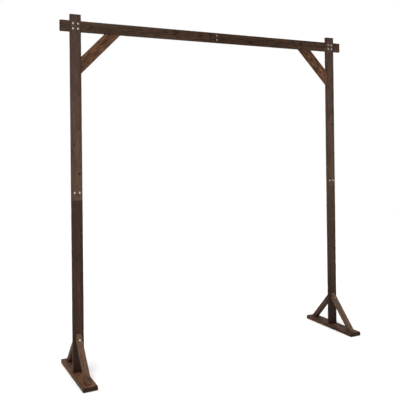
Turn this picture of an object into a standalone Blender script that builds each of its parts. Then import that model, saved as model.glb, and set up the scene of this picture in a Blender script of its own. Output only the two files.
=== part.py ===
# Wooden garden arbor: a square arch of flat boards on two braced feet.
# Metres, +Z up, +Y away from the viewer. The origin is on the floor, midway between the feet.

import bmesh
import bpy
from mathutils import Matrix, Vector

# Driving dimensions
ARBOR_HEIGHT = 2.200
POST_SPACING = 1.962
BOARD_WIDTH = 0.067
BOARD_THICKNESS = 0.024
POST_RISE = 0.039
BEAM_OVERHANG = 0.060
SPLICE_LENGTH = 0.100
CORNER_BRACE_REACH = 0.254
CORNER_BRACE_WIDTH = 0.072
FOOT_LENGTH = 0.516
FOOT_WIDTH = 0.087
FOOT_THICKNESS = 0.026
FOOT_BRACE_TOP = 0.260
FOOT_BRACE_REACH = 0.217
FOOT_BRACE_WIDTH = 0.034
FOOT_BRACE_DEPTH = 0.032
EASED_EDGE = 0.0015
EDGE_SEGMENTS = 2
SEAT_GAP = 0.0003
CUT_TOLERANCE = 1e-6

# Stain colours, linear, and how rough the dry stain is
WOOD_ROUGHNESS = 0.6
LOWER_POST_STAIN = (0.065, 0.036, 0.026)
UPPER_POST_STAIN = (0.079, 0.054, 0.041)
BEAM_STAIN = (0.066, 0.044, 0.031)
CORNER_BRACE_STAIN = (0.107, 0.056, 0.033)
FOOT_BOARD_STAIN = (0.127, 0.072, 0.045)
FOOT_BRACE_STAIN = (0.162, 0.084, 0.052)

# Worked out from the driving dimensions
half_spacing = POST_SPACING / 2
half_width = BOARD_WIDTH / 2
half_thickness = BOARD_THICKNESS / 2
beam_top = ARBOR_HEIGHT - POST_RISE
beam_bottom = beam_top - BOARD_WIDTH
beam_end = half_spacing + half_width + BEAM_OVERHANG
post_bottom = FOOT_THICKNESS + SEAT_GAP
splice_middle = (post_bottom + ARBOR_HEIGHT) / 2
half_splice = SPLICE_LENGTH / 2
half_seat = SEAT_GAP / 2
past_board = BOARD_WIDTH

SIDES = {"left": -1, "right": 1}
FACES = {"front": -1, "back": 1}


def remove_everything():
    for thing in list(bpy.data.objects):
        bpy.data.objects.remove(thing, do_unlink=True)


def new_collection(name):
    collection = bpy.data.collections.new(name)
    bpy.context.scene.collection.children.link(collection)
    return collection


def stained_wood(name, color):
    material = bpy.data.materials.new(name)
    material.use_nodes = True
    shader = material.node_tree.nodes["Principled BSDF"]
    shader.inputs["Base Color"].default_value = (*color, 1.0)
    shader.inputs["Roughness"].default_value = WOOD_ROUGHNESS
    shader.inputs["Metallic"].default_value = 0.0
    return material


def ordered(one, other):
    return min(one, other), max(one, other)


def box_object(name, low, high, collection):
    # The object stands at the box's middle, and the mesh is the box around it.
    low, high = Vector(low), Vector(high)
    mesh = bpy.data.meshes.new(name)
    bm = bmesh.new()
    bmesh.ops.create_cube(bm, size=1.0)
    bmesh.ops.scale(bm, vec=high - low, verts=bm.verts)
    bm.to_mesh(mesh)
    bm.free()
    thing = bpy.data.objects.new(name, mesh)
    thing.location = (low + high) / 2
    collection.objects.link(thing)
    return thing


def ease_edges(board):
    bevel = board.modifiers.new("eased edges", "BEVEL")
    bevel.width = EASED_EDGE
    bevel.segments = EDGE_SEGMENTS
    bevel.limit_method = "ANGLE"


def add_board(name, low, high, color):
    board = box_object(name, low, high, parts)
    board.data.materials.append(stained_wood(name + " stain", color))
    ease_edges(board)
    return board


def cut_housing(board, label, low, high):
    # Half of a lap joint, sawn and chiselled out of the board.
    cutter = box_object(board.name + " " + label, low, high, cutters)
    cutter.hide_render = True
    cutter.display_type = "WIRE"
    housing = board.modifiers.new(label, "BOOLEAN")
    housing.operation = "DIFFERENCE"
    housing.solver = "EXACT"
    housing.object = cutter


def add_brace(name, foot_end, head_end, inward, width, thickness, cuts, color):
    # A diagonal stick. Its outer edge runs from foot_end to head_end, its width lies
    # inward of that edge, and each end is sawn off along a plane (point, outward normal).
    foot_end, head_end, inward = Vector(foot_end), Vector(head_end), Vector(inward).normalized()
    along = (head_end - foot_end).normalized()
    across = along.cross(inward)
    middle = (foot_end + head_end) / 2 + inward * width / 2
    # twice the width to spare, for the slanting ends
    length = (head_end - foot_end).length + 2 * width
    mesh = bpy.data.meshes.new(name)
    bm = bmesh.new()
    bmesh.ops.create_cube(bm, size=1.0)
    bmesh.ops.scale(bm, vec=(length, width, thickness), verts=bm.verts)
    turn = Matrix((along, inward, across)).transposed()
    bmesh.ops.rotate(bm, cent=(0, 0, 0), matrix=turn, verts=bm.verts)
    for point, normal in cuts:
        geometry = bm.verts[:] + bm.edges[:] + bm.faces[:]
        bmesh.ops.bisect_plane(bm, geom=geometry, dist=CUT_TOLERANCE,
                               plane_co=Vector(point) - middle, plane_no=normal,
                               clear_outer=True)
        bmesh.ops.holes_fill(bm, edges=bm.edges)
    bmesh.ops.recalc_face_normals(bm, faces=bm.faces)
    bm.to_mesh(mesh)
    bm.free()
    brace = bpy.data.objects.new(name, mesh)
    brace.location = middle
    parts.objects.link(brace)
    brace.data.materials.append(stained_wood(name + " stain", color))
    ease_edges(brace)
    return brace


def add_post(side_name, side):
    # Two lengths, half lapped at mid height. The upper one keeps its front half where
    # the beam crosses it and where it meets the lower one.
    middle = side * half_spacing
    low_x, high_x = middle - half_width, middle + half_width
    splice_low, splice_high = splice_middle - half_splice, splice_middle + half_splice
    lower = add_board(side_name + "_post_lower", (low_x, -half_thickness, post_bottom),
                      (high_x, half_thickness, splice_high - half_seat), LOWER_POST_STAIN)
    cut_housing(lower, "splice housing", (low_x - past_board, -past_board, splice_low - half_seat),
                (high_x + past_board, half_seat, splice_high + past_board))
    upper = add_board(side_name + "_post_upper", (low_x, -half_thickness, splice_low + half_seat),
                      (high_x, half_thickness, ARBOR_HEIGHT), UPPER_POST_STAIN)
    cut_housing(upper, "splice housing", (low_x - past_board, -half_seat, splice_low - past_board),
                (high_x + past_board, past_board, splice_high + half_seat))
    cut_housing(upper, "beam housing", (low_x - past_board, -half_seat, beam_bottom - SEAT_GAP),
                (high_x + past_board, past_board, beam_top + SEAT_GAP))


def add_beam(side_name, side):
    # Two lengths, half lapped at the middle of the arch: the right one in front there.
    middle = side * half_spacing
    lap_end = -side * half_splice + side * half_seat
    low_x, high_x = ordered(side * beam_end, lap_end)
    beam = add_board("beam_" + side_name, (low_x, -half_thickness, beam_bottom),
                     (high_x, half_thickness, beam_top), BEAM_STAIN)
    low_x, high_x = ordered(lap_end - side * past_board, side * half_splice + side * half_seat)
    cut_y = ordered(-side * half_seat, side * past_board)
    cut_housing(beam, "splice housing", (low_x, cut_y[0], beam_bottom - past_board),
                (high_x, cut_y[1], beam_top + past_board))
    cut_housing(beam, "post housing",
                (middle - half_width - SEAT_GAP, -past_board, beam_bottom - past_board),
                (middle + half_width + SEAT_GAP, half_seat, beam_top + past_board))


def add_corner_brace(side_name, side):
    post_face = side * (half_spacing - half_width)
    foot_end = (post_face, 0, beam_bottom - CORNER_BRACE_REACH)
    head_end = (post_face - side * CORNER_BRACE_REACH, 0, beam_bottom)
    cuts = [((post_face - side * SEAT_GAP, 0, 0), (side, 0, 0)),
            ((0, 0, beam_bottom - SEAT_GAP), (0, 0, 1))]
    add_brace(side_name + "_corner_brace", foot_end, head_end, (side, 0, 1),
              CORNER_BRACE_WIDTH, BOARD_THICKNESS, cuts, CORNER_BRACE_STAIN)


def add_foot(side_name, side):
    middle = side * half_spacing
    half_foot = FOOT_LENGTH / 2
    add_board(side_name + "_foot_board", (middle - FOOT_WIDTH / 2, -half_foot, 0),
              (middle + FOOT_WIDTH / 2, half_foot, FOOT_THICKNESS), FOOT_BOARD_STAIN)
    for face_name, face in FACES.items():
        post_face = face * half_thickness
        foot_end = (middle, post_face + face * FOOT_BRACE_REACH, FOOT_THICKNESS)
        head_end = (middle, post_face, FOOT_BRACE_TOP)
        inward = (0, -face * (FOOT_BRACE_TOP - FOOT_THICKNESS), -FOOT_BRACE_REACH)
        cuts = [((0, post_face + face * SEAT_GAP, 0), (0, -face, 0)),
                ((0, 0, post_bottom), (0, 0, -1))]
        add_brace(side_name + "_" + face_name + "_foot_brace", foot_end, head_end, inward,
                  FOOT_BRACE_DEPTH, FOOT_BRACE_WIDTH, cuts, FOOT_BRACE_STAIN)


remove_everything()
parts = new_collection("wooden garden arbor")
cutters = new_collection("cutters")
for side_name, side in SIDES.items():
    add_post(side_name, side)
    add_beam(side_name, side)
    add_corner_brace(side_name, side)
    add_foot(side_name, side)
bpy.context.view_layer.update()
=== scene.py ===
# Looks of the wooden garden arbor: stained boards, half lapped and bolted, on two braced feet.
# Metres, +Z up, +Y away from the side that the camera stands on.

from math import cos, hypot, pi, radians, sin

import bmesh
import bpy
from mathutils import Matrix, Vector, noise


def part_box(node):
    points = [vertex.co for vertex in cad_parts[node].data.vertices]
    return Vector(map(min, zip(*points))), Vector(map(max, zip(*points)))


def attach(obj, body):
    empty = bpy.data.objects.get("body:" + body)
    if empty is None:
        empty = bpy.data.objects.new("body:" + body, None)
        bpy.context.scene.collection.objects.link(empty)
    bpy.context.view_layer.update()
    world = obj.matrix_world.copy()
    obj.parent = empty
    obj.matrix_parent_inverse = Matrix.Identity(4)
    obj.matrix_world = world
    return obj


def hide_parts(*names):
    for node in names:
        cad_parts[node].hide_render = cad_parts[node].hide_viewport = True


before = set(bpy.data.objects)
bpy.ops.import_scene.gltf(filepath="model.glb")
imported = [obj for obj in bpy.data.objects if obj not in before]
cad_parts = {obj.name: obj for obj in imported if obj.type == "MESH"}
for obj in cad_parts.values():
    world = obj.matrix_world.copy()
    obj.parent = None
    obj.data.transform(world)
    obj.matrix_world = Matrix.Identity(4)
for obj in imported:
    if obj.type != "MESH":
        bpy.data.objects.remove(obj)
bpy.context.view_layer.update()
print("frame loaded,", len(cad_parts), "boards")

upward, rightward, backward = Vector((0, 0, 1)), Vector((1, 0, 0)), Vector((0, 1, 0))
sideSigns = {"left": -1, "right": 1}
faceSigns = {"front": -1, "back": 1}


def linked(name, data):
    thing = bpy.data.objects.new(name, data)
    bpy.context.scene.collection.objects.link(thing)
    return thing


# Camera, at the height and angle that the picture was taken from

cameraLook = {
    "place": (-1.9206, -3.4935, 1.4052),
    "turnRight": 27.09,    # degrees from straight ahead
    "tiltUp": 0.34,
    "lean": -0.63,
    "lens": 52.25,         # mm, as is the sensor
    "sensor": 36,
    "shiftDown": 0.15,     # share of the picture
}


def addCamera():
    camera = linked("camera", bpy.data.cameras.new("camera"))
    camera.data.sensor_width = cameraLook["sensor"]
    camera.data.lens = cameraLook["lens"]
    camera.data.shift_y = -cameraLook["shiftDown"]
    turn = Matrix.Rotation(radians(-cameraLook["turnRight"]), 4, "Z")
    tilt = Matrix.Rotation(radians(90 + cameraLook["tiltUp"]), 4, "X")
    lean = Matrix.Rotation(radians(cameraLook["lean"]), 4, "Z")
    camera.matrix_world = Matrix.Translation(cameraLook["place"]) @ turn @ tilt @ lean
    bpy.context.scene.camera = camera


addCamera()

# Small helpers for shader nodes


def plugIn(tree, made, inputs):
    for name, value in inputs.items():
        if isinstance(value, bpy.types.NodeSocket):
            tree.links.new(value, made.inputs[name])
        else:
            made.inputs[name].default_value = value


def node(tree, kind, inputs=None, **settings):
    made = tree.nodes.new("ShaderNode" + kind)
    for name, value in settings.items():
        setattr(made, name, value)
    plugIn(tree, made, inputs or {})
    return made


def calc(tree, operation, first, second=0.0):
    return node(tree, "Math", {0: first, 1: second}, operation=operation).outputs[0]


def plus(tree, first, second):
    return calc(tree, "ADD", first, second)


def times(tree, first, second):
    return calc(tree, "MULTIPLY", first, second)


def ranged(tree, value, fromLow, fromHigh, toLow=0.0, toHigh=1.0, soft=True):
    # settings that are ranges hold the first two of these numbers, or all four
    inputs = {"Value": value, "From Min": fromLow, "From Max": fromHigh,
              "To Min": toLow, "To Max": toHigh}
    kind = "SMOOTHSTEP" if soft else "LINEAR"
    return node(tree, "MapRange", inputs, interpolation_type=kind).outputs[0]


def between(tree, value, low, high):
    # low where the value is 0, high where it is 1
    return ranged(tree, value, 0, 1, low, high, False)


def mixColor(tree, factor, first, second):
    return node(tree, "Mix", {0: factor, 6: first, 7: second}, data_type="RGBA").outputs[2]


def mixValue(tree, factor, first, second):
    return node(tree, "Mix", {0: factor, 2: first, 3: second}, data_type="FLOAT").outputs[0]


def scaled(tree, vector, factors):
    return node(tree, "VectorMath", {0: vector, 1: factors}, operation="MULTIPLY").outputs[0]


def stretched(tree, place, along, across):
    return scaled(tree, place, (along, across, across))


def lengthOf(tree, vector):
    return node(tree, "VectorMath", {0: vector}, operation="LENGTH").outputs["Value"]


def cloudy(tree, place, scale=1.0, detail=2.0, roughness=0.5):
    inputs = {"Vector": place, "Scale": scale, "Detail": detail, "Roughness": roughness}
    return node(tree, "TexNoise", inputs).outputs[0]


def newMaterial(name):
    material = bpy.data.materials.new(name)
    material.use_nodes = True
    return material, material.node_tree, material.node_tree.nodes["Principled BSDF"]


def fromScreen(red, green, blue):
    # a colour as seen on screen, 0 to 255, as the linear value that a shader takes
    def linear(value):
        share = value / 255
        return share / 12.92 if share <= 0.04045 else ((share + 0.055) / 1.055) ** 2.4

    return linear(red), linear(green), linear(blue), 1.0


# Wood: a solid pattern in each board's own frame, x along the grain and y across the wide face

woodLook = {
    "warm": fromScreen(100, 64, 41),    # where the stain lies thin
    "raw": fromScreen(134, 103, 80),    # bare wood on knocked edges
    "ringContrast": 0.23,
    "speckContrast": 0.6,
    "streakContrast": 0.12,
    "endRings": (1.45, 0.35),           # light and dark of the rings on the sawn ends
    "endMottling": 0.4,                 # the same all over them
    # light at the low and the high end of a layer, and its share in the surface's height
    "swings": {"Fibre": (0.82, 1.18), "Pores": (1.0, 0.62), "Patches": (0.80, 1.20)},
    "relief": {"Rings": 0.45, "Fibre": 0.45, "Pores": -0.7, "Saw Marks": 0.22, "rim": -1.0},
    "bump": {"Strength": 0.7, "Distance": 0.0006},
    "roughness": (0.70, 0.56),          # between the rings and on them
    "fibreRoughness": (0.06, -0.06),    # and what the fibres add
    "specular": 0.14,
    "footShadeReach": 0.30,                  # how far up the posts are darker, as painted shade
    "capReach": 0.06,                   # how far down from their tops they are darker
    "scuffs": {"scale": 38, "detail": 5, "roughness": 0.65},
    # near an edge they bare the wood, and thin out the dark stain
    "bareNear": (0.72, 1.0),
    "bareScuffs": (0.56, 0.66, 0.0, 0.65),
    "darkScuffs": (0.3, 0.6, 1.0, 0.4),
}

# A board's look gives the colours of its two ends as on screen, how warm, specked and contrasty
# its grain is, where the tree's heart lies across and through it and how that leans, the width of
# its rings, its knots as along, across and radius, and its checks, the cracks from drying, as end,
# face, across and length. What it leaves out comes from here.
usualLook = {
    "contrast": 1.3,
    "edgeLight": 0.38,    # how dark the stain is that has gathered at the edges
    "endTone": 0.36,      # and that the sawn ends have drunk
    "footShade": 1.0,          # painted shade: how dark the foot is made, lower down and between the foot braces
    "cap": 1.0,           # and the top end, where rain stands
    "knots": [],
    "knotColor": (42, 26, 19),
    "knotShare": 1.0,     # how much of that colour shows
    "checks": [],
}

# The grain's layers: stretch along and across, detail, roughness, the range picked out of the
# noise, and whether that range has soft ends
grainLayers = {
    "Fibre": (11, 480, 6, 0.68, 0.28, 0.72, False),
    "Pores": (55, 1050, 2, 0.50, 0.60, 0.70, True),
    "Patches": (2.6, 13, 4, 0.60, 0.30, 0.70, False),
    "Warmth": (7, 60, 4, 0.70, 0.45, 0.75, True),
    "Specks": (22, 260, 7, 0.72, 0.41, 0.60, True),
    "Streaks": (1.4, 44, 5, 0.60, 0.32, 0.68, False),
}


def groupSockets(tree, inputs, outputs):
    # inputs are names with their kinds, outputs the names of plain values
    for name, kind in inputs.items():
        tree.interface.new_socket(name, in_out="INPUT", socket_type="NodeSocket" + kind)
    for name in outputs:
        tree.interface.new_socket(name, in_out="OUTPUT", socket_type="NodeSocketFloat")
    return tree.nodes.new("NodeGroupInput").outputs, tree.nodes.new("NodeGroupOutput").inputs


knotLook = {
    "shape": (0.72, 1.0, 0.12),  # along, across and through: the smaller, the longer
    "ragged": {"scale": 160, "detail": 2},
    "raggedBy": (0.3, 0.7, -0.12, 0.12),
    # ranges in the knot's radii, from its middle outwards
    "bend": (0.4, 4.5, 1.5, 0.0),
    "core": (0.75, 1.05, 1.0, 0.0),
    "rimStart": (0.7, 1.0),
    "rimEnd": (1.0, 1.35, 1.0, 0.0),
    "rimTone": 0.45,             # how dark the rim is
}


def makeKnotGroup():
    # A round knot running through the board. The rings bend round it, by Bend metres.
    tree = bpy.data.node_groups.new("knot", "ShaderNodeTree")
    given, made = groupSockets(tree, {"Place": "Vector", "Middle": "Vector", "Radius": "Float"},
                               ["Bend", "Core", "Rim"])
    away = node(tree, "VectorMath", {0: given["Place"], 1: given["Middle"]}, operation="SUBTRACT")
    distance = lengthOf(tree, scaled(tree, away.outputs[0], knotLook["shape"]))
    share = calc(tree, "DIVIDE", distance, given["Radius"])
    ragged = cloudy(tree, given["Place"], **knotLook["ragged"])
    share = plus(tree, share, ranged(tree, ragged, *knotLook["raggedBy"]))
    bend, core, rimStart, rimEnd = [ranged(tree, share, *knotLook[part])
                                    for part in ("bend", "core", "rimStart", "rimEnd")]
    tree.links.new(times(tree, bend, given["Radius"]), made["Bend"])
    tree.links.new(core, made["Core"])
    tree.links.new(times(tree, rimStart, rimEnd), made["Rim"])
    return tree


grainLook = {
    # how the rings stray: stretch along and across, and how far
    "wander": (3.5, 18),
    "wanderBy": (-0.011, 0.011),
    # good and bad years: some rings are wider, some darker
    "years": {"Scale": 0.45, "Detail": 1.0},
    "yearWidths": 1.6,
    "yearTones": (0.3, 0.7, 0.45, 1.0),
    # a ring darkens slowly, and its end is sharp
    "rise": (0.25, 0.88),
    "fall": (0.93, 1.0, 1.0, 0.0),
    # what the planer has left of the saw's marks, in patches
    "sawMarks": {"Scale": 62, "Distortion": 1.4, "Detail": 1.0},
    "sawPatches": (5, 12),
    "sawLeft": (0.42, 0.62),
}


def makeGrainGroup():
    # Place is in the board's frame, Heart in the frame of the tree's heart line.
    tree = bpy.data.node_groups.new("pine grain", "ShaderNodeTree")
    given, made = groupSockets(tree, {"Place": "Vector", "Heart": "Vector", "Bend": "Float",
                                      "Ring Width": "Float"},
                               ["Rings", *grainLayers, "Saw Marks"])
    place = given["Place"]
    radius = lengthOf(tree, scaled(tree, given["Heart"], (0, 1, 1)))
    wander = cloudy(tree, stretched(tree, place, *grainLook["wander"]), detail=3)
    radius = plus(tree, radius, between(tree, wander, *grainLook["wanderBy"]))
    radius = plus(tree, radius, given["Bend"])
    number = calc(tree, "DIVIDE", radius, given["Ring Width"])
    years = node(tree, "TexNoise", {"W": number, **grainLook["years"]},
                 noise_dimensions="1D").outputs[0]
    phase = calc(tree, "FRACT", plus(tree, number, times(tree, years, grainLook["yearWidths"])))
    rise, fall = [ranged(tree, phase, *grainLook[part]) for part in ("rise", "fall")]
    strength = ranged(tree, years, *grainLook["yearTones"])
    tree.links.new(times(tree, times(tree, rise, fall), strength), made["Rings"])
    for name, (along, across, detail, roughness, low, high, soft) in grainLayers.items():
        layer = cloudy(tree, stretched(tree, place, along, across), 1.0, detail, roughness)
        tree.links.new(ranged(tree, layer, low, high, soft=soft), made[name])
    saw = node(tree, "TexWave", {"Vector": place, **grainLook["sawMarks"]},
               wave_type="BANDS", bands_direction="X").outputs[1]
    patches = cloudy(tree, stretched(tree, place, *grainLook["sawPatches"]))
    left = ranged(tree, patches, *grainLook["sawLeft"])
    tree.links.new(times(tree, saw, left), made["Saw Marks"])
    return tree


knotGroup = makeKnotGroup()
grainGroup = makeGrainGroup()


def knotMasks(tree, place, knots):
    # how far the knots bend the rings, their cores, and the dark rims round them
    bend, core, rim = 0.0, 0.0, 0.0
    for along, across, radius in knots:
        inputs = {"Place": place, "Middle": (along, across, 0), "Radius": radius}
        knot = node(tree, "Group", inputs, node_tree=knotGroup).outputs
        bend = plus(tree, knot["Bend"], bend)
        core = calc(tree, "MAXIMUM", knot["Core"], core)
        rim = calc(tree, "MAXIMUM", knot["Rim"], rim)
    return bend, core, rim


def readBoard(tree, board, look):
    # All that the wood is made from: grain, knots, the place along the board, its edges and ends.
    objectPlace = node(tree, "TexCoord").outputs["Object"]
    place = node(tree, "Mapping", {"Vector": objectPlace, "Location": board["middle"],
                                   "Rotation": board["turn"].to_euler()},
                 vector_type="TEXTURE").outputs[0]
    heartAcross, heartThrough = look["heart"]
    leanAcross, leanThrough = look["lean"]
    heart = node(tree, "Mapping", {"Vector": place, "Location": (0, -heartAcross, -heartThrough),
                                   "Rotation": (0, -leanThrough, leanAcross)}).outputs[0]
    bend, core, rim = knotMasks(tree, place, look["knots"])
    grain = node(tree, "Group", {"Place": place, "Heart": heart, "Bend": bend,
                                 "Ring Width": look["rings"]}, node_tree=grainGroup).outputs
    endGrain = node(tree, "Attribute", attribute_name="endGrain").outputs["Fac"]
    return {
        **dict(grain.items()), "core": core, "rim": rim, "endGrain": endGrain,
        "mottling": mixValue(tree, endGrain, grain["Specks"], woodLook["endMottling"]),
        "nearEdge": node(tree, "Attribute", attribute_name="nearEdge").outputs["Fac"],
        "scuffs": cloudy(tree, place, **woodLook["scuffs"]),
        "along": node(tree, "SeparateXYZ", {0: place}).outputs[0],
    }


def woodTone(tree, parts, look, reach):
    # stain colour, from one end of the board to the other, thinner and warmer in streaks
    tone = mixColor(tree, ranged(tree, parts["along"], -reach, reach, soft=False),
                    fromScreen(*look["foot"]), fromScreen(*look["head"]))
    warmShare = plus(tree, times(tree, parts["Warmth"], look["warmth"]),
                     times(tree, parts["mottling"], look["specks"]))
    tone = mixColor(tree, warmShare, tone, woodLook["warm"])
    knotShare = times(tree, parts["core"], look["knotShare"])
    tone = mixColor(tree, knotShare, tone, fromScreen(*look["knotColor"]))
    # knocks have worn some of it off the edges
    bare = times(tree, ranged(tree, parts["nearEdge"], *woodLook["bareNear"]),
                 ranged(tree, parts["scuffs"], *woodLook["bareScuffs"]))
    return mixColor(tree, bare, tone, woodLook["raw"])


def woodLight(tree, parts, look, reach):
    # how much lighter or darker than its stain the wood is
    contrast = woodLook["ringContrast"] * look["contrast"]
    specks = woodLook["speckContrast"] * look["specks"]
    streaks = woodLook["streakContrast"] * look["contrast"]
    light = mixValue(tree, parts["endGrain"],
                     between(tree, parts["Rings"], 1 + contrast, 1 - contrast),
                     between(tree, parts["Rings"], *woodLook["endRings"]))
    swings = {**woodLook["swings"], "mottling": (1 - specks, 1 + specks),
              "Streaks": (1 - streaks, 1 + streaks), "endGrain": (1.0, look["endTone"])}
    for part, (low, high) in swings.items():
        light = times(tree, light, between(tree, parts[part], low, high))
    thinned = ranged(tree, parts["scuffs"], *woodLook["darkScuffs"])
    gathered = times(tree, parts["nearEdge"], thinned)
    light = times(tree, light, ranged(tree, gathered, 0, 1, 1.0, look["edgeLight"]))
    light = times(tree, light, ranged(tree, parts["rim"], 0, 1, 1.0, knotLook["rimTone"]))
    # painted shade towards the foot, lower down and between the foot braces; then the darker top
    # end
    footShadeEnd, capStart = woodLook["footShadeReach"] - reach, reach - woodLook["capReach"]
    light = times(tree, light, ranged(tree, parts["along"], -reach, footShadeEnd, look["footShade"], 1.0))
    return times(tree, light, ranged(tree, parts["along"], capStart, reach, 1.0, look["cap"]))


def makeWood(name, board, look):
    material, tree, shader = newMaterial(name)
    reach, parts = board["half"].x, readBoard(tree, board, look)
    tone, light = woodTone(tree, parts, look, reach), woodLight(tree, parts, look, reach)
    color = node(tree, "VectorMath", {0: tone, "Scale": light}, operation="SCALE").outputs[0]
    rough = plus(tree, between(tree, parts["Rings"], *woodLook["roughness"]),
                 between(tree, parts["Fibre"], *woodLook["fibreRoughness"]))
    height = 0.0
    for part, share in woodLook["relief"].items():
        height = plus(tree, height, times(tree, parts[part], share))
    bump = node(tree, "Bump", {**woodLook["bump"], "Height": height}).outputs[0]
    plugIn(tree, shader, {"Base Color": color, "Roughness": rough, "Normal": bump,
                          "Specular IOR Level": woodLook["specular"]})
    return material


# Boards, cut from outlines that follow the frame

sawing = {
    "gap": 0.0003,            # left between boards that meet
    "longEdge": (0.0021, 3),  # rounding of the long edges, and its steps
    "sawnEdge": (0.0007, 2),  # and of the sawn ends
    "roundFrom": 50,          # degrees between faces
    # how finely a board is cut up for its unevenness, along, across and through
    "steps": (0.0062, 0.0037, 0.00592),
    "waves": 0.00016,         # hollows left by the planer, how deep
    "waveScale": 14,
    "edgeWear": 0.0008,       # how deep edges are rubbed
    "rubScale": 34,
    "rubRange": (0.35, 0.9),  # usual share of it, and how that varies
    "chips": 0.0065,          # how deep edges are knocked
    "chipScale": 17,
    "chipRarity": 0.46,       # none at 1
    "crossScale": 2.5,        # how much shorter all three are across the grain
    "wearReach": 0.0055,      # how far in from an edge it is worn
    "calmReach": 0.012,       # wear fades out over this to a sawn end, where boards meet
    "edgeReach": 0.0080,      # how far in from an edge its darkening goes
    "sawnReach": 0.0040,      # and from a sawn end
    "endDepth": 0.0015,       # how far the end grain shows round the corner
    "checkWidth": 0.0007,     # half the width of a drying crack
    "checkDepth": 0.0046,
    "knotReach": 1.7,         # how far out the faces at a knot are finer, in its radii
    "knotRing": 0.0005,       # depth of the groove round a knot
    "ringReach": 0.3,         # half that groove's width, in the knot's radii
    "knotHollow": 0.0002,
    "drillAbove": 0.0040,     # how far a seat's cutter stands out of the wood
    "drillSteps": 40,
    "sharpFrom": 38,          # degrees between faces
}


def steppedFace(face, inner, start, end, cuts):
    # One face of a board from start to end, stepping in where a neighbour is let in.
    line = []
    if not cuts or cuts[0][0] > start:
        line.append((start, face))
    for cutStart, cutEnd in cuts:
        if cutStart > start:
            line.append((cutStart, face))
        line.append((max(cutStart, start), inner))
        line.append((min(cutEnd, end), inner))
        if cutEnd < end:
            line.append((cutEnd, face))
    if not cuts or cuts[-1][1] < end:
        line.append((end, face))
    return line


def lappedOutline(start, end, front, back, frontCuts=(), backCuts=()):
    middle, halfGap = (front + back) / 2, sawing["gap"] / 2
    frontLine = steppedFace(front, middle + halfGap, start, end, frontCuts)
    backLine = steppedFace(back, middle - halfGap, start, end, backCuts)
    return frontLine + backLine[::-1]


def sweepOutline(points, sweep):
    bm = bmesh.new()
    outline = bm.faces.new([bm.verts.new(point) for point in points])
    swept = bmesh.ops.extrude_face_region(bm, geom=[outline])["geom"]
    corners = [part for part in swept if isinstance(part, bmesh.types.BMVert)]
    bmesh.ops.translate(bm, vec=sweep, verts=corners)
    bmesh.ops.recalc_face_normals(bm, faces=bm.faces)
    return bm


def keepMesh(bm, name):
    mesh = bpy.data.meshes.new(name)
    bm.to_mesh(mesh)
    bm.free()
    return mesh


def measureBoard(bm, along, across):
    # rows of the turn take a world point to the board's frame, before its middle is taken off
    turn = Matrix((along, across, along.cross(across)))
    spots = [turn @ vert.co for vert in bm.verts]
    low = Vector([min(spot[axis] for spot in spots) for axis in range(3)])
    high = Vector([max(spot[axis] for spot in spots) for axis in range(3)])
    sawn = {round(spot.x - (low.x + high.x) / 2, 4) for spot in spots}
    back, middle = turn.transposed(), (low + high) / 2
    return {"turn": back, "middle": back @ middle, "half": (high - low) / 2, "sawn": sorted(sawn)}


def inBoard(board, point):
    return board["turn"].transposed() @ (point - board["middle"])


def sawnDistance(board, spot):
    # along the grain, to the nearest end or housing
    return min(abs(spot.x - place) for place in board["sawn"])


def edgeDistance(board, spot):
    # on a board's skin the second smallest of these is the way to the nearest edge
    return sorted(half - abs(value) for half, value in zip(board["half"], spot))[1]


def roundEdges(bm, edges, offset, steps):
    bmesh.ops.bevel(bm, geom=edges, offset=offset, offset_type="OFFSET", segments=steps,
                    profile=0.5, affect="EDGES", material=-1, clamp_overlap=True)


def easeEdges(bm, along):
    def runsAlong(edge):
        return abs((edge.verts[0].co - edge.verts[1].co).normalized().dot(along)) > 0.99

    roundEdges(bm, [edge for edge in bm.edges if runsAlong(edge)], *sawing["longEdge"])
    sawnEdges = [edge for edge in bm.edges if len(edge.link_faces) == 2
                 and edge.calc_face_angle() > radians(sawing["roundFrom"])]
    roundEdges(bm, sawnEdges, *sawing["sawnEdge"])


def cutAcross(bm, board, axis, places):
    normal = board["turn"].col[axis]
    for place in places:
        bmesh.ops.bisect_plane(bm, geom=bm.verts[:] + bm.edges[:] + bm.faces[:], dist=1e-6,
                               plane_co=board["middle"] + normal * place, plane_no=normal)


def evenPlaces(half, step):
    count = max(2, round(2 * half / step))
    return [half * (2 * number / count - 1) for number in range(1, count)]


def cutFine(bm, board, look):
    # small faces all over, and finer ones at the cracks and knots
    half, crack, reach = board["half"], sawing["checkWidth"], sawing["knotReach"]
    bmesh.ops.connect_verts_concave(bm, faces=bm.faces[:])
    for axis, step in enumerate(sawing["steps"]):
        cutAcross(bm, board, axis, evenPlaces(half[axis], step))
    for end, face, across, length in look["checks"]:
        cutAcross(bm, board, 1, [across - crack, across, across + crack])
    bmesh.ops.remove_doubles(bm, verts=bm.verts, dist=2e-6)
    for along, across, radius in look["knots"]:
        near = set()
        for vert in bm.verts:
            spot = inBoard(board, vert.co)
            onFace = abs(spot.z) > 0.9 * half.z
            if onFace and hypot(spot.x - along, spot.y - across) < reach * radius:
                near.add(vert)
        edges = [edge for edge in bm.edges if edge.verts[0] in near and edge.verts[1] in near]
        bmesh.ops.subdivide_edges(bm, edges=edges, cuts=2, use_grid_fill=True)


def wornEdge(board, spot, grain, seed):
    # how rubbing and knocks move a spot in from the edges
    closeness = max(0.0, 1 - edgeDistance(board, spot) / sawing["wearReach"]) ** 2
    if closeness == 0:
        return Vector()
    usual, varied = sawing["rubRange"]
    rub = sawing["edgeWear"] * max(0.0, usual + varied * noise.noise(grain * sawing["rubScale"]))
    knocks = noise.noise(grain * sawing["chipScale"] + seed)
    chip = sawing["chips"] * max(0.0, knocks - sawing["chipRarity"])
    inward = Vector((0, -spot.y / abs(spot.y or 1), -spot.z / abs(spot.z or 1)))
    calm = min(1.0, sawnDistance(board, spot) / sawing["calmReach"])
    return board["turn"] @ inward.normalized() * closeness * (rub + chip) * calm


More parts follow.
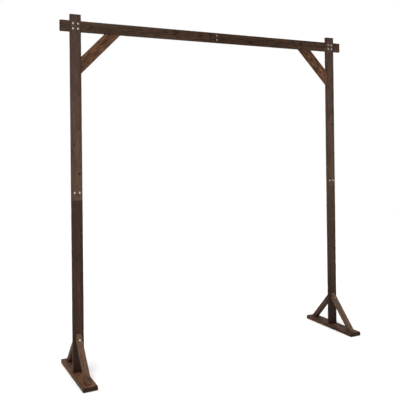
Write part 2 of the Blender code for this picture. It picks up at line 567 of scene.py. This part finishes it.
def openCheck(board, spot, end, face, across, length):
    # The middle line of a drying crack is sunk, less and less away from its end of the board.
    fromEnd = board["half"].x - end * spot.x
    onFace = spot.z * face > board["half"].z - 0.001
    if not onFace or fromEnd >= length or abs(spot.y - across) >= 1e-4:
        return Vector()
    depth = sawing["checkDepth"] * (1 - fromEnd / length) ** 0.7
    return board["turn"] @ Vector((0, 0, -face * depth))


def knotDip(board, spot, along, across, radius):
    # how deep a knot is sunk, and more so the ring round it
    if abs(spot.z) <= 0.8 * board["half"].z:
        return 0.0
    share = hypot((spot.x - along) * knotLook["shape"][0], spot.y - across) / radius
    ring = max(0.0, 1 - abs(share - 1) / sawing["ringReach"])
    return sawing["knotRing"] * ring + sawing["knotHollow"] * (share < 1)


def wearBoard(bm, board, look):
    # Every move goes inward, so that the board stays inside its solid and clear of its neighbours.
    bm.normal_update()
    seed = Vector((look["seed"] * 3.1, look["seed"] * 1.7, 0))
    moves, finer = [], sawing["crossScale"]
    for vert in bm.verts:
        spot = inBoard(board, vert.co)
        grain = Vector((spot.x, spot.y * finer, spot.z * finer)) + seed
        move = -vert.normal * sawing["waves"] * (1 + noise.noise(grain * sawing["waveScale"]))
        move += wornEdge(board, spot, grain, seed)
        for check in look["checks"]:
            move += openCheck(board, spot, *check)
        for knot in look["knots"]:
            move -= vert.normal * knotDip(board, spot, *knot)
        moves.append((vert, move))
    for vert, move in moves:
        vert.co += move


def facing(place, outward):
    # takes a thing made round the Z axis to its place, with its top outward
    return Matrix.Translation(place) @ outward.to_track_quat("Z", "Y").to_matrix().to_4x4()


def cutAway(thing, cutter, crossing=False):
    # the mesh that is left when the cutter is taken out of a thing
    cut = thing.modifiers.new("cut", "BOOLEAN")
    cut.operation, cut.object = "DIFFERENCE", cutter
    cut.solver, cut.use_self = "EXACT", crossing
    graph = bpy.context.evaluated_depsgraph_get()
    mesh = bpy.data.meshes.new_from_object(thing.evaluated_get(graph))
    thing.modifiers.clear()
    bpy.data.objects.remove(cutter)
    return mesh


def drillSeats(piece, seats):
    # Flat-bottomed holes, each a place on the surface, the way out, a radius and a depth.
    bm = bmesh.new()
    above = sawing["drillAbove"]
    for place, outward, radius, depth in seats:
        middle = place + outward * (above - depth) / 2
        bmesh.ops.create_cone(bm, cap_ends=True, segments=sawing["drillSteps"], radius1=radius,
                              radius2=radius, depth=above + depth, matrix=facing(middle, outward))
    piece.data = cutAway(piece, linked("seat cutter", keepMesh(bm, "seat cutter")))


def markBoard(mesh, board):
    # two values for the wood's material: closeness to an edge, and end grain
    nearEdge = mesh.attributes.new("nearEdge", "FLOAT", "POINT")
    endGrain = mesh.attributes.new("endGrain", "FLOAT", "POINT")
    for number, vert in enumerate(mesh.vertices):
        spot = inBoard(board, vert.co)
        fromEdge = max(0.0, 1 - edgeDistance(board, spot) / sawing["edgeReach"]) ** 1.5
        fromSawn = 0.6 * max(0.0, 1 - sawnDistance(board, spot) / sawing["sawnReach"])
        nearEdge.data[number].value = max(fromEdge, fromSawn)
        fromEnd = board["half"].x - abs(spot.x)
        endGrain.data[number].value = max(0.0, 1 - fromEnd / sawing["endDepth"])


def finishPiece(name, mesh):
    piece = linked(name, mesh)
    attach(piece, "root")
    return piece


def addBoard(nodeName, bm, along, across, look, seats=()):
    look = {**usualLook, **look}
    board = measureBoard(bm, along, across)
    easeEdges(bm, along)
    cutFine(bm, board, look)
    wearBoard(bm, board, look)
    bmesh.ops.recalc_face_normals(bm, faces=bm.faces)
    name = nodeName + "_stained"
    piece = finishPiece(name, keepMesh(bm, name))
    if seats:
        drillSeats(piece, seats)
    markBoard(piece.data, board)
    piece.data.shade_smooth()
    piece.data.set_sharp_from_angle(angle=radians(sawing["sharpFrom"]))
    piece.data.materials.clear()
    piece.data.materials.append(makeWood(nodeName + " wood", board, look))
    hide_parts(nodeName)


# Fixings, each a place worked out from the frame with its way out. Their heads are let into seats.

boltLook = {
    "headRadius": 0.0062,
    "headHeight": 0.0036,
    "headRim": 0.0008,
    "seatRadius": 0.0074,
    "seatDepth": 0.0011,
    "cornerSpacing": 0.0310,
    "pairSpacing": 0.0305,
}
screwSeat = {"radius": 0.0050, "depth": 0.0050}


def boltSeats(bolts, scale=1.0):
    return [(*bolt, boltLook["seatRadius"] * scale, boltLook["seatDepth"]) for bolt in bolts]


def screwSeats(screws):
    return [(*screw, screwSeat["radius"], screwSeat["depth"]) for screw in screws]


def pairAbout(middle, way, spacing, outward):
    return [(middle + way * sign * spacing / 2, outward) for sign in (-1, 1)]


def cornerBolts(side):
    postLow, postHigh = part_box(side + "_post_upper")
    beamLow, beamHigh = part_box("beam_" + side)
    middle = Vector(((postLow.x + postHigh.x) / 2, postLow.y, (beamLow.z + beamHigh.z) / 2))
    step = boltLook["cornerSpacing"] / 2
    steps = [Vector((x * step, 0, z * step)) for x in (-1, 1) for z in (-1, 1)]
    return [(middle + step, -backward) for step in steps]


def postSpliceBolts(side):
    lowerLow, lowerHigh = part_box(side + "_post_lower")
    upperLow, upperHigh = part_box(side + "_post_upper")
    middle = Vector(((lowerLow.x + lowerHigh.x) / 2, lowerLow.y, (upperLow.z + lowerHigh.z) / 2))
    return pairAbout(middle, rightward, boltLook["pairSpacing"], -backward)


def beamSpliceBolts():
    low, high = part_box("beam_left")
    rightLow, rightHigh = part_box("beam_right")
    middle = Vector(((rightLow.x + high.x) / 2, low.y, (low.z + high.z) / 2))
    return pairAbout(middle, upward, boltLook["pairSpacing"], -backward)


# Posts

# the lower posts' foot colours are darker as painted shade, lower down and between the foot braces
postLooks = {
    "left_upper": dict(
        head=(70, 55, 48), foot=(83, 64, 51), warmth=0.22, specks=0.10, cap=0.80,
        heart=(0.006, 0.058), lean=(0.004, 0.020), rings=0.0034, contrast=1.1,
        seed=1, knots=[(-0.404, 0.014, 0.0055), (-0.226, -0.017, 0.0045)],
        checks=[(1, -1, 0.009, 0.052), (1, 1, -0.012, 0.034)]),
    "left_lower": dict(
        head=(57, 42, 35), foot=(47, 30, 23), warmth=0.20, specks=0.10, footShade=0.70,
        heart=(0.071, 0.030), lean=(0.012, -0.008), rings=0.0031, contrast=1.1,
        seed=2, knots=[(0.118, -0.010, 0.0060)]),
    "right_upper": dict(
        head=(71, 55, 48), foot=(73, 59, 48), warmth=0.22, specks=0.10, cap=0.80,
        heart=(-0.012, 0.066), lean=(-0.006, 0.024), rings=0.0037, contrast=1.1,
        seed=3, knots=[(-0.090, 0.013, 0.0050)], checks=[(1, -1, -0.014, 0.044)]),
    "right_lower": dict(
        head=(69, 56, 44), foot=(27, 13, 9), warmth=0.16, specks=0.12, footShade=0.92,
        heart=(0.010, 0.052), lean=(0.002, -0.022), rings=0.0033, contrast=1.2,
        seed=4, knots=[(0.086, -0.004, 0.0052), (0.436, 0.012, 0.0042)]),
}


def addPosts():
    gap = sawing["gap"]
    for side in sideSigns:
        lowerLow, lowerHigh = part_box(side + "_post_lower")
        upperLow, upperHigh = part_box(side + "_post_upper")
        beamLow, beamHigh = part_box("beam_" + side)
        far = 2 * (lowerHigh.x - lowerLow.x)
        width = rightward * (lowerHigh.x - lowerLow.x)

        outline = lappedOutline(lowerLow.z, lowerHigh.z, lowerLow.y, lowerHigh.y,
                                frontCuts=[(upperLow.z - gap, lowerHigh.z + far)])
        bm = sweepOutline([(lowerLow.x, y, z) for z, y in outline], width)
        addBoard(side + "_post_lower", bm, upward, rightward,
                 postLooks[side + "_lower"])

        outline = lappedOutline(upperLow.z, upperHigh.z, upperLow.y, upperHigh.y,
                                backCuts=[(upperLow.z - far, lowerHigh.z + gap),
                                          (beamLow.z - gap, beamHigh.z + gap)])
        bm = sweepOutline([(upperLow.x, y, z) for z, y in outline], width)
        seats = boltSeats(cornerBolts(side) + postSpliceBolts(side))
        addBoard(side + "_post_upper", bm, upward, rightward,
                 postLooks[side + "_upper"], seats)
    print("posts made")


addPosts()

# Beam, in two lengths

beamLooks = {
    "left": dict(
        head=(39, 26, 19), foot=(59, 48, 38), warmth=0.18, specks=0.26,
        heart=(0.004, -0.055), lean=(0.003, 0.018), rings=0.0032, contrast=1.9,
        seed=5, knots=[(-0.185, 0.011, 0.0026)],
        checks=[(-1, 1, 0.010, 0.046), (-1, -1, -0.008, 0.030)]),
    "right": dict(
        head=(49, 37, 30), foot=(40, 27, 19), warmth=0.18, specks=0.26,
        heart=(-0.010, -0.062), lean=(-0.004, -0.020), rings=0.0035, contrast=1.9,
        seed=6, knots=[(0.140, -0.012, 0.0055)], checks=[(1, 1, -0.006, 0.038)]),
}


def addBeam():
    gap = sawing["gap"]
    leftLow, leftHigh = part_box("beam_left")
    rightLow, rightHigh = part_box("beam_right")
    height = upward * (leftHigh.z - leftLow.z)
    for side, low, high in (("left", leftLow, leftHigh), ("right", rightLow, rightHigh)):
        postLow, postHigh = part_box(side + "_post_upper")
        postCut = (postLow.x - gap, postHigh.x + gap)
        frontCuts, backCuts, seats = [postCut], [], []
        if side == "left":
            frontCuts.append((rightLow.x - gap, high.x + gap))
        else:
            backCuts.append((low.x - gap, leftHigh.x + gap))
            seats = boltSeats(beamSpliceBolts())
        outline = lappedOutline(low.x, high.x, low.y, high.y, frontCuts, backCuts)
        bm = sweepOutline([(x, y, low.z) for x, y in outline], height)
        addBoard("beam_" + side, bm, rightward, upward, beamLooks[side], seats)
    print("beam made")


addBeam()

# Corner braces, mitred at 45 degrees to post and beam

cornerBraceLooks = {
    "reach": 0.254,    # along post and beam, to the brace's outer edge
    "width": 0.072,
    "screwIn": 0.030,  # from each end, along the lower edge
    "left": dict(
        head=(59, 45, 32), foot=(77, 55, 41), warmth=0.40, specks=0.66, edgeLight=0.40,
        heart=(0.008, 0.040), lean=(0.030, 0.050), rings=0.0062, contrast=2.0,
        seed=7, knots=[(0.052, 0.015, 0.0024)]),
    "right": dict(
        head=(63, 48, 35), foot=(80, 55, 40), warmth=0.40, specks=0.66, edgeLight=0.40,
        heart=(-0.012, 0.046), lean=(-0.020, 0.060), rings=0.0058, contrast=2.0,
        seed=8, knots=[(-0.071, -0.012, 0.0045)]),
}


def innerCorner(side):
    # where the post's inner face meets the beam's underside, as x and z
    postLow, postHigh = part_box(side + "_post_upper")
    beamLow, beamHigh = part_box("beam_" + side)
    return (postLow if side == "right" else postHigh).x, beamLow.z


def cornerScrews(side):
    # on the lower edge, one into the post and one into the beam
    sign, reach = sideSigns[side], cornerBraceLooks["reach"]
    postFace, ceiling = innerCorner(side)
    low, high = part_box(side + "_corner_brace")
    foot = Vector((postFace, (low.y + high.y) / 2, ceiling - reach))
    head = Vector((postFace - sign * reach, foot.y, ceiling))
    step = (head - foot).normalized() * cornerBraceLooks["screwIn"]
    outward = Vector((-sign, 0, -1)).normalized()
    return [(foot + step, outward), (head - step, outward)]


def addCornerBraces():
    gap, outer = sawing["gap"], cornerBraceLooks["reach"]
    inner = outer - cornerBraceLooks["width"] * 2 ** 0.5
    for side, sign in sideSigns.items():
        postFace, ceiling = innerCorner(side)
        low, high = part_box(side + "_corner_brace")

        def atPost(reach):
            return postFace - sign * gap, low.y, ceiling - reach + gap

        def atBeam(reach):
            return postFace - sign * (reach - gap), low.y, ceiling - gap

        outline = [atPost(outer), atBeam(outer), atBeam(inner), atPost(inner)]
        bm = sweepOutline(outline, backward * (high.y - low.y))
        along, across = Vector((-sign, 0, 1)).normalized(), Vector((sign, 0, 1)).normalized()
        addBoard(side + "_corner_brace", bm, along, across,
                 cornerBraceLooks[side], screwSeats(cornerScrews(side)))
    print("corner braces made")


addCornerBraces()

# Feet: a flat board, and a stick up each face of the post

footBoardLooks = {
    "screwSpacing": 0.034,
    "left": dict(
        head=(66, 47, 31), foot=(75, 50, 33), warmth=0.34, specks=0.42, edgeLight=0.42,
        heart=(0.010, 0.062), lean=(0.010, 0.034), rings=0.0044, contrast=1.9,
        seed=9, knots=[(0.060, -0.022, 0.0060), (-0.165, 0.019, 0.0048)],
        checks=[(-1, -1, 0.012, 0.040), (1, -1, -0.017, 0.036)]),
    "right": dict(
        head=(44, 31, 23), foot=(44, 30, 21), warmth=0.30, specks=0.38, edgeLight=0.42,
        heart=(-0.014, 0.058), lean=(-0.014, 0.030), rings=0.0041, contrast=1.9,
        seed=10, endTone=0.62, knots=[(-0.090, 0.024, 0.0055)],
        checks=[(-1, -1, -0.010, 0.044), (1, -1, 0.020, 0.030)]),
}
footBraceLooks = {
    "top": 0.260,      # where a stick's outer edge meets the post
    "reach": 0.217,    # from the post's face to where it meets the foot board
    "depth": 0.032,
    "boltDown": 0.043,     # from the top, along the slope
    "boltScale": 0.90,     # these heads are smaller than the ones above
    "screwUp": 0.036,      # from the lower end, along the slope
    "left_front": dict(
        head=(90, 67, 53), foot=(58, 42, 30), warmth=0.30, specks=0.24, edgeLight=0.50,
        heart=(0.004, 0.046), lean=(0.010, 0.030), rings=0.0036,
        seed=11, knots=[(-0.028, 0.001, 0.0068)], knotColor=(118, 78, 50), knotShare=0.7),
    "left_back": dict(
        head=(69, 50, 40), foot=(67, 46, 35), warmth=0.28, specks=0.22, edgeLight=0.50,
        heart=(0.030, 0.034), lean=(-0.012, 0.026), rings=0.0033, seed=12),
    "right_front": dict(
        head=(78, 63, 53), foot=(75, 60, 47), warmth=0.28, specks=0.22, edgeLight=0.50,
        heart=(-0.008, 0.050), lean=(0.014, -0.024), rings=0.0038,
        seed=13, knots=[(0.047, -0.006, 0.0024)]),
    # partly painted shade: darker than the other sticks, as its face lies in shade
    "right_back": dict(
        head=(57, 43, 36), foot=(57, 42, 34), warmth=0.26, specks=0.22, edgeLight=0.50,
        heart=(0.012, 0.044), lean=(-0.016, 0.022), rings=0.0034, seed=14),
}


def footBraceSlope(side, faceSign):
    # The outer face's top and bottom points, at the stick's middle, and the way up and out of it.
    postLow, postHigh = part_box(side + "_post_lower")
    boardLow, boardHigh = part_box(side + "_foot_board")
    postFace = (postLow if faceSign < 0 else postHigh).y
    middle = (postLow.x + postHigh.x) / 2
    top = Vector((middle, postFace, footBraceLooks["top"]))
    bottom = Vector((middle, postFace + faceSign * footBraceLooks["reach"], boardHigh.z))
    up = (top - bottom).normalized()
    outward = Vector((0, faceSign * up.z, -faceSign * up.y))
    return top, bottom, up, outward


def footBraceFixings(side, faceSign):
    # a bolt near the top and a screw near the bottom
    top, bottom, up, outward = footBraceSlope(side, faceSign)
    bolt = top - up * footBraceLooks["boltDown"]
    screw = bottom + up * footBraceLooks["screwUp"]
    return (bolt, outward), (screw, outward)


def undersideScrews(side):
    # two go up through the foot board into the post
    low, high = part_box(side + "_foot_board")
    middle = Vector(((low.x + high.x) / 2, (low.y + high.y) / 2, low.z))
    return pairAbout(middle, rightward, footBoardLooks["screwSpacing"], -upward)


def addFeet():
    gap, depth = sawing["gap"], footBraceLooks["depth"]
    for side in sideSigns:
        low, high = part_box(side + "_foot_board")
        bm = bmesh.new()
        bmesh.ops.create_cube(bm, size=1)
        bmesh.ops.scale(bm, vec=high - low, verts=bm.verts)
        bmesh.ops.translate(bm, vec=(low + high) / 2, verts=bm.verts)
        addBoard(side + "_foot_board", bm, backward, rightward,
                 footBoardLooks[side], screwSeats(undersideScrews(side)))
        for face, faceSign in faceSigns.items():
            name = side + "_" + face + "_foot_brace"
            braceLow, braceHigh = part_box(name)
            top, bottom, up, outward = footBraceSlope(side, faceSign)
            wall, floorTop = top.y + faceSign * gap, high.z + gap
            steep, run = abs(up.z / up.y), abs(up.y)

            def heightAt(y, inward):
                return top.z - abs(y - top.y) * steep - inward / run

            def reachAt(z, inward):
                return top.y + faceSign * (top.z - z - inward / run) / steep

            points = [(wall, heightAt(wall, 0)), (reachAt(floorTop, 0), floorTop),
                      (reachAt(floorTop, depth), floorTop), (wall, heightAt(wall, depth))]
            bm = sweepOutline([(braceLow.x, y, z) for y, z in points],
                              rightward * (braceHigh.x - braceLow.x))
            bolt, screw = footBraceFixings(side, faceSign)
            seats = boltSeats([bolt], footBraceLooks["boltScale"]) + screwSeats([screw])
            addBoard(name, bm, up, rightward,
                     footBraceLooks[side + "_" + face], seats)
    print("feet made")


addFeet()

# Hardware: mushroom-headed bolts with washers and nuts behind, and sunk screws

hardware = {
    "steps": 40,           # round every turned part
    "domeSteps": 10,
    "eased": 0.0002,       # rims of heads and washers
    "washerRadius": 0.0082,
    "washerHole": 0.0033,
    "washerThickness": 0.0015,
    "nutFlats": 0.0100,
    "nutHeight": 0.0050,
    "nutChamfer": 0.0007,
    "nutPlay": 0.0001,
    "holeChamfer": 0.0004,
    "shankRadius": 0.0030,
    "threadPitch": 0.0010,
    "threadDepth": 0.0005,
    "tipOut": 0.0095,
    "screwRadius": 0.0042,
    "screwHeight": 0.0016,
    "screwRim": 0.0003,
    "crossLength": 0.0050,
    "crossWidth": 0.0009,
    "crossDepth": 0.0011,
    "sharpFrom": 34,       # degrees between faces
}

# bright and dull colour, and roughness from bright to dull
steelLooks = {
    # the steel with a painted glint is zinc made brighter, to stand for a glint on the left foot's
    # bolts
    "steel with painted glint": ((0.90, 0.84, 0.78, 1), (0.64, 0.57, 0.50, 1), (0.28, 0.46)),
    "zinc plated steel": ((0.72, 0.67, 0.61, 1), (0.46, 0.42, 0.37, 1), (0.34, 0.56)),
    "darker steel": ((0.47, 0.39, 0.33, 1), (0.30, 0.24, 0.19, 1), (0.42, 0.62)),
    "blackened steel": ((0.060, 0.055, 0.052, 1), (0.100, 0.070, 0.050, 1), (0.42, 0.62)),
}

steelGrain = {
    "clouds": {"scale": 210, "detail": 5, "roughness": 0.7},
    "colorRange": (0.35, 0.7),
    "roughRange": (0.3, 0.7),
    "scratches": (300, 2400),
    "bump": {"Strength": 0.25, "Distance": 0.0002},
}

# bolt heads coloured apart from plain zinc plated steel: the left foot's brighter, a painted glint,
# and the others darker
headSteels = {
    "beam_middle": "darker steel",
    "left_foot": "steel with painted glint",
    "right_foot": "darker steel",
}


def makeSteel(name):
    bright, dull, roughness = steelLooks[name]
    material, tree, shader = newMaterial(name)
    place = node(tree, "TexCoord").outputs["Object"]
    cloud = cloudy(tree, place, **steelGrain["clouds"])
    color = mixColor(tree, ranged(tree, cloud, *steelGrain["colorRange"]), bright, dull)
    rough = ranged(tree, cloud, *steelGrain["roughRange"], *roughness)
    scratches = cloudy(tree, stretched(tree, place, *steelGrain["scratches"]), detail=3)
    bump = node(tree, "Bump", {**steelGrain["bump"], "Height": scratches}).outputs[0]
    plugIn(tree, shader, {"Base Color": color, "Roughness": rough, "Normal": bump, "Metallic": 1.0})
    return material


def turnProfile(profile, closed=False):
    # Spins a half outline, as radius and height, round the Z axis.
    bm = bmesh.new()
    points = [bm.verts.new((radius, 0, height)) for radius, height in profile]
    lines = [bm.edges.new(pair) for pair in zip(points, points[1:])]
    if closed:
        lines.append(bm.edges.new((points[-1], points[0])))
    bmesh.ops.spin(bm, geom=points + lines, cent=(0, 0, 0), axis=(0, 0, 1), dvec=(0, 0, 0),
                   angle=2 * pi, steps=hardware["steps"], use_merge=True)
    bmesh.ops.remove_doubles(bm, verts=bm.verts, dist=1e-7)
    bmesh.ops.recalc_face_normals(bm, faces=bm.faces)
    return bm


def headMesh():
    rim, top, radius = boltLook["headRim"], boltLook["headHeight"], boltLook["headRadius"]
    steps, eased = hardware["domeSteps"], hardware["eased"]
    dome = [(radius * sin(pi / 2 * step / steps), rim + (top - rim) * cos(pi / 2 * step / steps))
            for step in range(steps + 1)]
    profile = dome + [(radius, eased), (radius - eased, 0), (0, 0)]
    return keepMesh(turnProfile(profile), "bolt head")


def washerMesh():
    hole, edge = hardware["washerHole"], hardware["washerRadius"]
    thick, eased = hardware["washerThickness"], hardware["eased"]
    profile = [(hole, 0), (edge, 0), (edge, thick - eased), (edge - eased, thick), (hole, thick)]
    return keepMesh(turnProfile(profile, closed=True), "washer")


def nutMesh():
    # Turned with chamfered rims, then its six flats are cut.
    flat, height = hardware["nutFlats"] / 2, hardware["nutHeight"]
    corner, chamfer = flat / cos(pi / 6), hardware["nutChamfer"]
    hole, eased = hardware["shankRadius"] + hardware["nutPlay"], hardware["holeChamfer"]
    profile = [(hole, 0), (flat, 0), (corner, chamfer), (corner, height - chamfer), (flat, height),
               (hole + eased, height), (hole, height - eased)]
    bm = turnProfile(profile, closed=True)
    for number in range(6):
        way = Vector((cos(pi / 3 * number), sin(pi / 3 * number), 0))
        bmesh.ops.bisect_plane(bm, geom=bm.verts[:] + bm.edges[:] + bm.faces[:], dist=1e-7,
                               plane_co=way * flat, plane_no=way, clear_outer=True)
        bmesh.ops.holes_fill(bm, edges=[edge for edge in bm.edges if edge.is_boundary])
    bmesh.ops.recalc_face_normals(bm, faces=bm.faces)
    return keepMesh(bm, "nut")


def tipMesh():
    # The bolt's threaded end, from inside the nut outwards.
    radius, pitch = hardware["shankRadius"], hardware["threadPitch"]
    core, tip = radius - hardware["threadDepth"], hardware["tipOut"]
    height = hardware["washerThickness"] + hardware["nutHeight"] * 0.6
    profile = [(0, height)]
    while height < tip - pitch:
        profile += [(radius, height), (radius, height + pitch * 0.2), (core, height + pitch * 0.6)]
        height += pitch
    profile += [(core, tip), (0, tip)]
    return keepMesh(turnProfile(profile), "bolt tip")


def screwMesh():
    radius, height = hardware["screwRadius"], hardware["screwHeight"]
    profile = [(0, height), (radius * 0.6, height * 0.93), (radius * 0.93, height * 0.6),
               (radius, hardware["screwRim"]), (radius, 0), (0, 0)]
    head = linked("screw head", keepMesh(turnProfile(profile), "screw head"))
    long, narrow = hardware["crossLength"], hardware["crossWidth"]
    cross = bmesh.new()
    for size in ((long, narrow), (narrow, long)):
        arm = bmesh.ops.create_cube(cross, size=1)["verts"]
        bmesh.ops.scale(cross, vec=(*size, 2 * hardware["crossDepth"]), verts=arm)
        bmesh.ops.translate(cross, vec=(0, 0, height), verts=arm)
    slot = linked("cross cutter", keepMesh(cross, "cross cutter"))
    mesh = cutAway(head, slot, crossing=True)
    bpy.data.objects.remove(head)
    return mesh


def addHardware(name, items, *materials):
    # items are meshes with their places and their ways out
    bm = bmesh.new()
    for mesh, place, outward in items:
        known = len(bm.verts)
        bm.from_mesh(mesh)
        bm.verts.ensure_lookup_table()
        bmesh.ops.transform(bm, matrix=facing(place, outward), verts=bm.verts[known:])
    piece = finishPiece(name, keepMesh(bm, name))
    piece.data.shade_smooth()
    piece.data.set_sharp_from_angle(angle=radians(hardware["sharpFrom"]))
    for material in materials:
        piece.data.materials.append(material)


def sunkIn(mesh, fixings, depth):
    return [(mesh, place - outward * depth, outward) for place, outward in fixings]


def addLapBolts(meshes, steels):
    # heads in front, and behind them washers, nuts and the bolts' tips
    groups = {"beam_middle": beamSpliceBolts()}
    for side in sideSigns:
        groups[side + "_corner"] = cornerBolts(side)
        groups[side + "_post"] = postSpliceBolts(side)
    postLow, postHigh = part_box("left_post_lower")
    for name, bolts in groups.items():
        addHardware(name + "_bolt_heads", sunkIn(meshes["head"], bolts, boltLook["seatDepth"]),
                    steels[headSteels.get(name, "zinc plated steel")])
        nuts = []
        for place, outward in bolts:
            behind = place - outward * (postHigh.y - postLow.y)
            onWasher = behind - outward * hardware["washerThickness"]
            nuts += [(meshes["washer"], behind, -outward), (meshes["tip"], behind, -outward),
                     (meshes["nut"], onWasher, -outward)]
        # the nuts get the darker steel, painted shade for their facets, and the washers zinc plated
        # steel
        addHardware(name + "_nuts", nuts, steels["darker steel"], steels["zinc plated steel"])


def addSideFixings(side, meshes, steels):
    # the foot's small bolts and its screws, and the corner brace's screws
    bolts, braceScrews = zip(*[footBraceFixings(side, sign) for sign in faceSigns.values()])
    addHardware(side + "_foot_bolt_heads",
                sunkIn(meshes["small head"], bolts, boltLook["seatDepth"]),
                steels[headSteels[side + "_foot"]])
    for name, screws in (("_foot_screws", [*undersideScrews(side), *braceScrews]),
                         ("_corner_screws", cornerScrews(side))):
        addHardware(side + name, sunkIn(meshes["screw"], screws, screwSeat["depth"]),
                    steels["blackened steel"])


def addFixings():
    meshes = {"head": headMesh(), "washer": washerMesh(), "nut": nutMesh(), "tip": tipMesh(),
              "screw": screwMesh()}
    meshes["small head"] = meshes["head"].copy()
    meshes["small head"].transform(Matrix.Scale(footBraceLooks["boltScale"], 4))
    for face in meshes["washer"].polygons:
        face.material_index = 1    # zinc plated, brighter than its nut: the nut's darker steel is painted shade
    steels = {name: makeSteel(name) for name in steelLooks}
    addLapBolts(meshes, steels)
    for side in sideSigns:
        addSideFixings(side, meshes, steels)
    for mesh in meshes.values():
        bpy.data.meshes.remove(mesh)
    print("hardware made")


addFixings()

# Stage: a pale floor that runs out into white, a soft sun from the upper left, fill from all round

stageLook = {
    "floorRadius": 14.0,
    "floorSteps": 96,
    "floor": {"Base Color": (0.88, 0.88, 0.87, 1), "Roughness": 0.9, "Specular IOR Level": 0.1},
    "fadeStart": 3.0,
    "fadeEnd": 8.0,
    "ambient": 0.42,
}
# where each lamp stands, which way it shines, and its own settings
lampLooks = {
    "key": ("SUN", (-2, -4, 5), (0.32, 0.42, -1.05), {"energy": 2.5, "angle": radians(38)}),
    "rear fill": ("SUN", (2, 4, 5), (-0.45, -0.80, -0.85), {"energy": 0.8, "angle": radians(60)}),
    "softbox": ("AREA", (-3.2, -2.8, 2.4), (3.2, 2.8, -1.2),
                {"energy": 12, "shape": "RECTANGLE", "size": 1.6, "size_y": 2.4}),
}


def addFloor():
    bm = bmesh.new()
    bmesh.ops.create_circle(bm, cap_ends=True, segments=stageLook["floorSteps"],
                            radius=stageLook["floorRadius"])
    floor = linked("floor", keepMesh(bm, "floor"))
    material, tree, shader = newMaterial("pale floor")
    plugIn(tree, shader, stageLook["floor"])
    fromMiddle = lengthOf(tree, node(tree, "TexCoord").outputs["Object"])
    fade = ranged(tree, fromMiddle, stageLook["fadeStart"], stageLook["fadeEnd"])
    clear = node(tree, "BsdfTransparent").outputs[0]
    mixer = node(tree, "MixShader", {0: fade, 1: shader.outputs[0], 2: clear})
    tree.links.new(mixer.outputs[0], tree.nodes["Material Output"].inputs["Surface"])
    floor.data.materials.append(material)


def addLights():
    world = bpy.data.worlds.new("white studio")
    bpy.context.scene.world = world
    world.use_nodes = True
    tree = world.node_tree
    tree.nodes.clear()
    white = (1, 1, 1, 1)
    fill = node(tree, "Background", {"Color": white, "Strength": stageLook["ambient"]})
    seen = node(tree, "Background", {"Color": white, "Strength": 1.0})
    toCamera = node(tree, "LightPath").outputs["Is Camera Ray"]
    picked = node(tree, "MixShader", {0: toCamera, 1: fill.outputs[0], 2: seen.outputs[0]})
    tree.links.new(picked.outputs[0], node(tree, "OutputWorld").inputs["Surface"])

    for name, (kind, place, way, settings) in lampLooks.items():
        light = bpy.data.lights.new(name, kind)
        for setting, value in settings.items():
            setattr(light, setting, value)
        lamp = linked(name, light)
        lamp.location = place
        lamp.rotation_euler = Vector(way).to_track_quat("-Z", "Y").to_euler()
    bpy.context.scene.view_settings.view_transform = "Standard"


addFloor()
addLights()
print("stage set")
